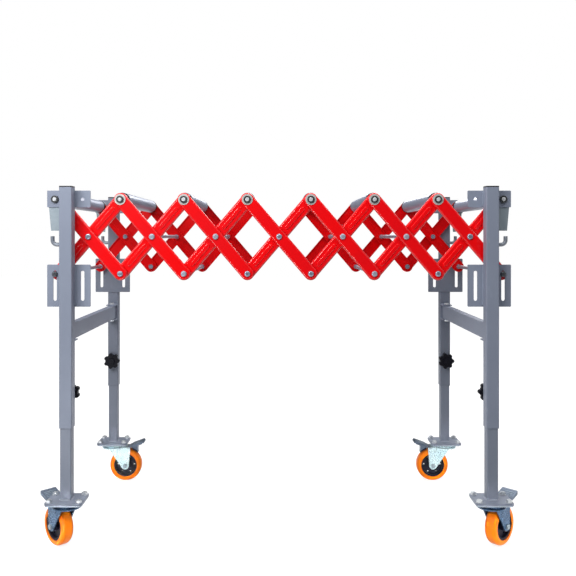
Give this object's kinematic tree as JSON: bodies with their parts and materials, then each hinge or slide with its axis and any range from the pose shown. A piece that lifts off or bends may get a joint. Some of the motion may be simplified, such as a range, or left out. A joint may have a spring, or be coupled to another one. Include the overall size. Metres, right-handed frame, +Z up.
{
  "type": "roller conveyor table",
  "caption": "Expandable gravity roller conveyor: crossed red arms carry free rollers between two leg frames on braked swivel casters.",
  "frame": {"origin": "on the floor, below the middle of the extended table", "axes": "+X along the bed, +Y from the near lattice to the far one, +Z up"},
  "size_m": [1.2348, 0.614, 0.9115],
  "materials": {
    "grey_paint": "satin",
    "red_paint": "gloss",
    "zinc": "satin",
    "roller_steel": "satin",
    "black_plastic": "satin",
    "orange_tread": "satin"
  },
  "bodies": {
    "left_frame": {"left_leg_tubes": "grey_paint", "left_leg_caps": "black_plastic", "left_bracket_plates": "grey_paint", "left_coupling_hooks": "zinc", "left_end_axle": "zinc", "left_crossbar": "grey_paint"},
    "right_frame": {"right_leg_tubes": "grey_paint", "right_leg_caps": "black_plastic", "right_bracket_plates": "grey_paint", "right_coupling_hooks": "zinc", "right_end_axle": "zinc", "right_crossbar": "grey_paint"},
    "falling_1": {"falling_arms_1": "red_paint"},
    "rising_1": {"rising_arms_1": "red_paint", "roller_axle_2": "zinc"},
    "falling_2": {"falling_arms_2": "red_paint"},
    "rising_2": {"rising_arms_2": "red_paint", "roller_axle_3": "zinc"},
    "falling_3": {"falling_arms_3": "red_paint"},
    "rising_3": {"rising_arms_3": "red_paint", "roller_axle_4": "zinc"},
    "falling_4": {"falling_arms_4": "red_paint"},
    "rising_4": {"rising_arms_4": "red_paint", "roller_axle_5": "zinc"},
    "falling_5": {"falling_arms_5": "red_paint"},
    "rising_5": {"rising_arms_5": "red_paint", "roller_axle_6": "zinc"},
    "falling_6": {"falling_arms_6": "red_paint"},
    "rising_6": {"rising_arms_6": "red_paint", "roller_axle_7": "zinc"},
    "falling_7": {"falling_arms_7": "red_paint"},
    "rising_7": {"rising_arms_7": "red_paint"},
    "roller_1": {"roller_1": "roller_steel"},
    "roller_2": {"roller_2": "roller_steel"},
    "roller_3": {"roller_3": "roller_steel"},
    "roller_4": {"roller_4": "roller_steel"},
    "roller_5": {"roller_5": "roller_steel"},
    "roller_6": {"roller_6": "roller_steel"},
    "roller_7": {"roller_7": "roller_steel"},
    "roller_8": {"roller_8": "roller_steel"},
    "near_left_leg": {"near_left_inner_leg": "grey_paint"},
    "near_left_knob": {"near_left_knob": "black_plastic"},
    "near_left_swivel": {"near_left_fork": "zinc"},
    "near_left_wheel": {"near_left_wheel": "orange_tread"},
    "near_left_pedal": {"near_left_brake_pedal": "zinc"},
    "far_left_leg": {"far_left_inner_leg": "grey_paint"},
    "far_left_knob": {"far_left_knob": "black_plastic"},
    "far_left_swivel": {"far_left_fork": "zinc"},
    "far_left_wheel": {"far_left_wheel": "orange_tread"},
    "far_left_pedal": {"far_left_brake_pedal": "zinc"},
    "near_right_leg": {"near_right_inner_leg": "grey_paint"},
    "near_right_knob": {"near_right_knob": "black_plastic"},
    "near_right_swivel": {"near_right_fork": "zinc"},
    "near_right_wheel": {"near_right_wheel": "orange_tread"},
    "near_right_pedal": {"near_right_brake_pedal": "zinc"},
    "far_right_leg": {"far_right_inner_leg": "grey_paint"},
    "far_right_knob": {"far_right_knob": "black_plastic"},
    "far_right_swivel": {"far_right_fork": "zinc"},
    "far_right_wheel": {"far_right_wheel": "orange_tread"},
    "far_right_pedal": {"far_right_brake_pedal": "zinc"}
  },
  "joints": [
    {"name": "fold", "type": "hinge", "parent": "left_frame", "child": "falling_1", "pos_m": [-0.56875, 0, 0.87945], "axis": [0, 1, 0], "range_deg": [0, 27]},
    {"name": "middle_pivot_1", "type": "hinge", "parent": "falling_1", "child": "rising_1", "pos_m": [-0.4875, 0, 0.78446], "axis": [0, 1, 0], "range_deg": [-54, 0]},
    {"name": "bottom_pivot_1", "type": "hinge", "parent": "falling_1", "child": "rising_2", "pos_m": [-0.40625, 0, 0.68947], "axis": [0, 1, 0], "range_deg": [-54, 0]},
    {"name": "middle_pivot_2", "type": "hinge", "parent": "rising_2", "child": "falling_2", "pos_m": [-0.325, 0, 0.78446], "axis": [0, 1, 0], "range_deg": [0, 54]},
    {"name": "top_pivot_2", "type": "hinge", "parent": "rising_2", "child": "falling_3", "pos_m": [-0.24375, 0, 0.87945], "axis": [0, 1, 0], "range_deg": [0, 54]},
    {"name": "middle_pivot_3", "type": "hinge", "parent": "falling_3", "child": "rising_3", "pos_m": [-0.1625, 0, 0.78446], "axis": [0, 1, 0], "range_deg": [-54, 0]},
    {"name": "bottom_pivot_3", "type": "hinge", "parent": "falling_3", "child": "rising_4", "pos_m": [-0.08125, 0, 0.68947], "axis": [0, 1, 0], "range_deg": [-54, 0]},
    {"name": "middle_pivot_4", "type": "hinge", "parent": "rising_4", "child": "falling_4", "pos_m": [0, 0, 0.78446], "axis": [0, 1, 0], "range_deg": [0, 54]},
    {"name": "top_pivot_4", "type": "hinge", "parent": "rising_4", "child": "falling_5", "pos_m": [0.08125, 0, 0.87945], "axis": [0, 1, 0], "range_deg": [0, 54]},
    {"name": "middle_pivot_5", "type": "hinge", "parent": "falling_5", "child": "rising_5", "pos_m": [0.1625, 0, 0.78446], "axis": [0, 1, 0], "range_deg": [-54, 0]},
    {"name": "bottom_pivot_5", "type": "hinge", "parent": "falling_5", "child": "rising_6", "pos_m": [0.24375, 0, 0.68947], "axis": [0, 1, 0], "range_deg": [-54, 0]},
    {"name": "middle_pivot_6", "type": "hinge", "parent": "rising_6", "child": "falling_6", "pos_m": [0.325, 0, 0.78446], "axis": [0, 1, 0], "range_deg": [0, 54]},
    {"name": "top_pivot_6", "type": "hinge", "parent": "rising_6", "child": "falling_7", "pos_m": [0.40625, 0, 0.87945], "axis": [0, 1, 0], "range_deg": [0, 54]},
    {"name": "middle_pivot_7", "type": "hinge", "parent": "falling_7", "child": "rising_7", "pos_m": [0.4875, 0, 0.78446], "axis": [0, 1, 0], "range_deg": [-54, 0]},
    {"name": "right_frame_pivot", "type": "hinge", "parent": "rising_7", "child": "right_frame", "pos_m": [0.56875, 0, 0.87945], "axis": [0, 1, 0], "range_deg": [0, 27]},
    {"name": "roller_1_spin", "type": "hinge", "parent": "left_frame", "child": "roller_1", "pos_m": [-0.56875, 0, 0.87945], "axis": [0, 1, 0], "continuous": true},
    {"name": "roller_2_spin", "type": "hinge", "parent": "rising_1", "child": "roller_2", "pos_m": [-0.40625, 0, 0.87945], "axis": [0, 1, 0], "continuous": true},
    {"name": "roller_3_spin", "type": "hinge", "parent": "rising_2", "child": "roller_3", "pos_m": [-0.24375, 0, 0.87945], "axis": [0, 1, 0], "continuous": true},
    {"name": "roller_4_spin", "type": "hinge", "parent": "rising_3", "child": "roller_4", "pos_m": [-0.08125, 0, 0.87945], "axis": [0, 1, 0], "continuous": true},
    {"name": "roller_5_spin", "type": "hinge", "parent": "rising_4", "child": "roller_5", "pos_m": [0.08125, 0, 0.87945], "axis": [0, 1, 0], "continuous": true},
    {"name": "roller_6_spin", "type": "hinge", "parent": "rising_5", "child": "roller_6", "pos_m": [0.24375, 0, 0.87945], "axis": [0, 1, 0], "continuous": true},
    {"name": "roller_7_spin", "type": "hinge", "parent": "rising_6", "child": "roller_7", "pos_m": [0.40625, 0, 0.87945], "axis": [0, 1, 0], "continuous": true},
    {"name": "roller_8_spin", "type": "hinge", "parent": "right_frame", "child": "roller_8", "pos_m": [0.56875, 0, 0.87945], "axis": [0, 1, 0], "continuous": true},
    {"name": "near_left_height", "type": "slide", "parent": "left_frame", "child": "near_left_leg", "axis": [0, 0, 1], "range_m": [-0.12, 0.17]},
    {"name": "near_left_knob_turn", "type": "hinge", "parent": "left_frame", "child": "near_left_knob", "pos_m": [-0.53375, -0.251, 0.38745], "axis": [0, 1, 0], "range_deg": [0, 360]},
    {"name": "near_left_swivel", "type": "hinge", "parent": "near_left_leg", "child": "near_left_swivel", "pos_m": [-0.53375, -0.267, 0.108], "axis": [0, 0, 1], "continuous": true},
    {"name": "near_left_wheel_roll", "type": "hinge", "parent": "near_left_swivel", "child": "near_left_wheel", "pos_m": [-0.56252, -0.23921, 0.05], "axis": [-0.6947, -0.7193, 0], "continuous": true},
    {"name": "near_left_brake", "type": "hinge", "parent": "near_left_swivel", "child": "near_left_pedal", "pos_m": [-0.56972, -0.23227, 0.106], "axis": [-0.6947, -0.7193, 0], "range_deg": [0, 6]},
    {"name": "far_left_height", "type": "slide", "parent": "left_frame", "child": "far_left_leg", "axis": [0, 0, 1], "range_m": [-0.12, 0.17]},
    {"name": "far_left_knob_turn", "type": "hinge", "parent": "left_frame", "child": "far_left_knob", "pos_m": [-0.53375, 0.251, 0.38745], "axis": [0, -1, 0], "range_deg": [0, 360]},
    {"name": "far_left_swivel", "type": "hinge", "parent": "far_left_leg", "child": "far_left_swivel", "pos_m": [-0.53375, 0.267, 0.108], "axis": [0, 0, 1], "continuous": true},
    {"name": "far_left_wheel_roll", "type": "hinge", "parent": "far_left_swivel", "child": "far_left_wheel", "pos_m": [-0.49375, 0.267, 0.05], "axis": [0, 1, 0], "continuous": true},
    {"name": "far_left_brake", "type": "hinge", "parent": "far_left_swivel", "child": "far_left_pedal", "pos_m": [-0.48375, 0.267, 0.106], "axis": [0, 1, 0], "range_deg": [0, 6]},
    {"name": "near_right_height", "type": "slide", "parent": "right_frame", "child": "near_right_leg", "axis": [0, 0, 1], "range_m": [-0.12, 0.17]},
    {"name": "near_right_knob_turn", "type": "hinge", "parent": "right_frame", "child": "near_right_knob", "pos_m": [0.53375, -0.251, 0.38745], "axis": [0, 1, 0], "range_deg": [0, 360]},
    {"name": "near_right_swivel", "type": "hinge", "parent": "near_right_leg", "child": "near_right_swivel", "pos_m": [0.53375, -0.267, 0.108], "axis": [0, 0, 1], "continuous": true},
    {"name": "near_right_wheel_roll", "type": "hinge", "parent": "near_right_swivel", "child": "near_right_wheel", "pos_m": [0.56252, -0.23921, 0.05], "axis": [-0.6947, 0.7193, 0], "continuous": true},
    {"name": "near_right_brake", "type": "hinge", "parent": "near_right_swivel", "child": "near_right_pedal", "pos_m": [0.56972, -0.23227, 0.106], "axis": [-0.6947, 0.7193, 0], "range_deg": [0, 6]},
    {"name": "far_right_height", "type": "slide", "parent": "right_frame", "child": "far_right_leg", "axis": [0, 0, 1], "range_m": [-0.12, 0.17]},
    {"name": "far_right_knob_turn", "type": "hinge", "parent": "right_frame", "child": "far_right_knob", "pos_m": [0.53375, 0.251, 0.38745], "axis": [0, -1, 0], "range_deg": [0, 360]},
    {"name": "far_right_swivel", "type": "hinge", "parent": "far_right_leg", "child": "far_right_swivel", "pos_m": [0.53375, 0.267, 0.108], "axis": [0, 0, 1], "continuous": true},
    {"name": "far_right_wheel_roll", "type": "hinge", "parent": "far_right_swivel", "child": "far_right_wheel", "pos_m": [0.49375, 0.267, 0.05], "axis": [0, -1, 0], "continuous": true},
    {"name": "far_right_brake", "type": "hinge", "parent": "far_right_swivel", "child": "far_right_pedal", "pos_m": [0.48375, 0.267, 0.106], "axis": [0, -1, 0], "range_deg": [0, 6]}
  ],
  "couplings": [
    {"joint": "middle_pivot_1", "follows": "fold", "ratio": -2},
    {"joint": "bottom_pivot_1", "follows": "fold", "ratio": -2},
    {"joint": "middle_pivot_2", "follows": "fold", "ratio": 2},
    {"joint": "top_pivot_2", "follows": "fold", "ratio": 2},
    {"joint": "middle_pivot_3", "follows": "fold", "ratio": -2},
    {"joint": "bottom_pivot_3", "follows": "fold", "ratio": -2},
    {"joint": "middle_pivot_4", "follows": "fold", "ratio": 2},
    {"joint": "top_pivot_4", "follows": "fold", "ratio": 2},
    {"joint": "middle_pivot_5", "follows": "fold", "ratio": -2},
    {"joint": "bottom_pivot_5", "follows": "fold", "ratio": -2},
    {"joint": "middle_pivot_6", "follows": "fold", "ratio": 2},
    {"joint": "top_pivot_6", "follows": "fold", "ratio": 2},
    {"joint": "middle_pivot_7", "follows": "fold", "ratio": -2},
    {"joint": "right_frame_pivot", "follows": "fold", "ratio": 1}
  ]
}
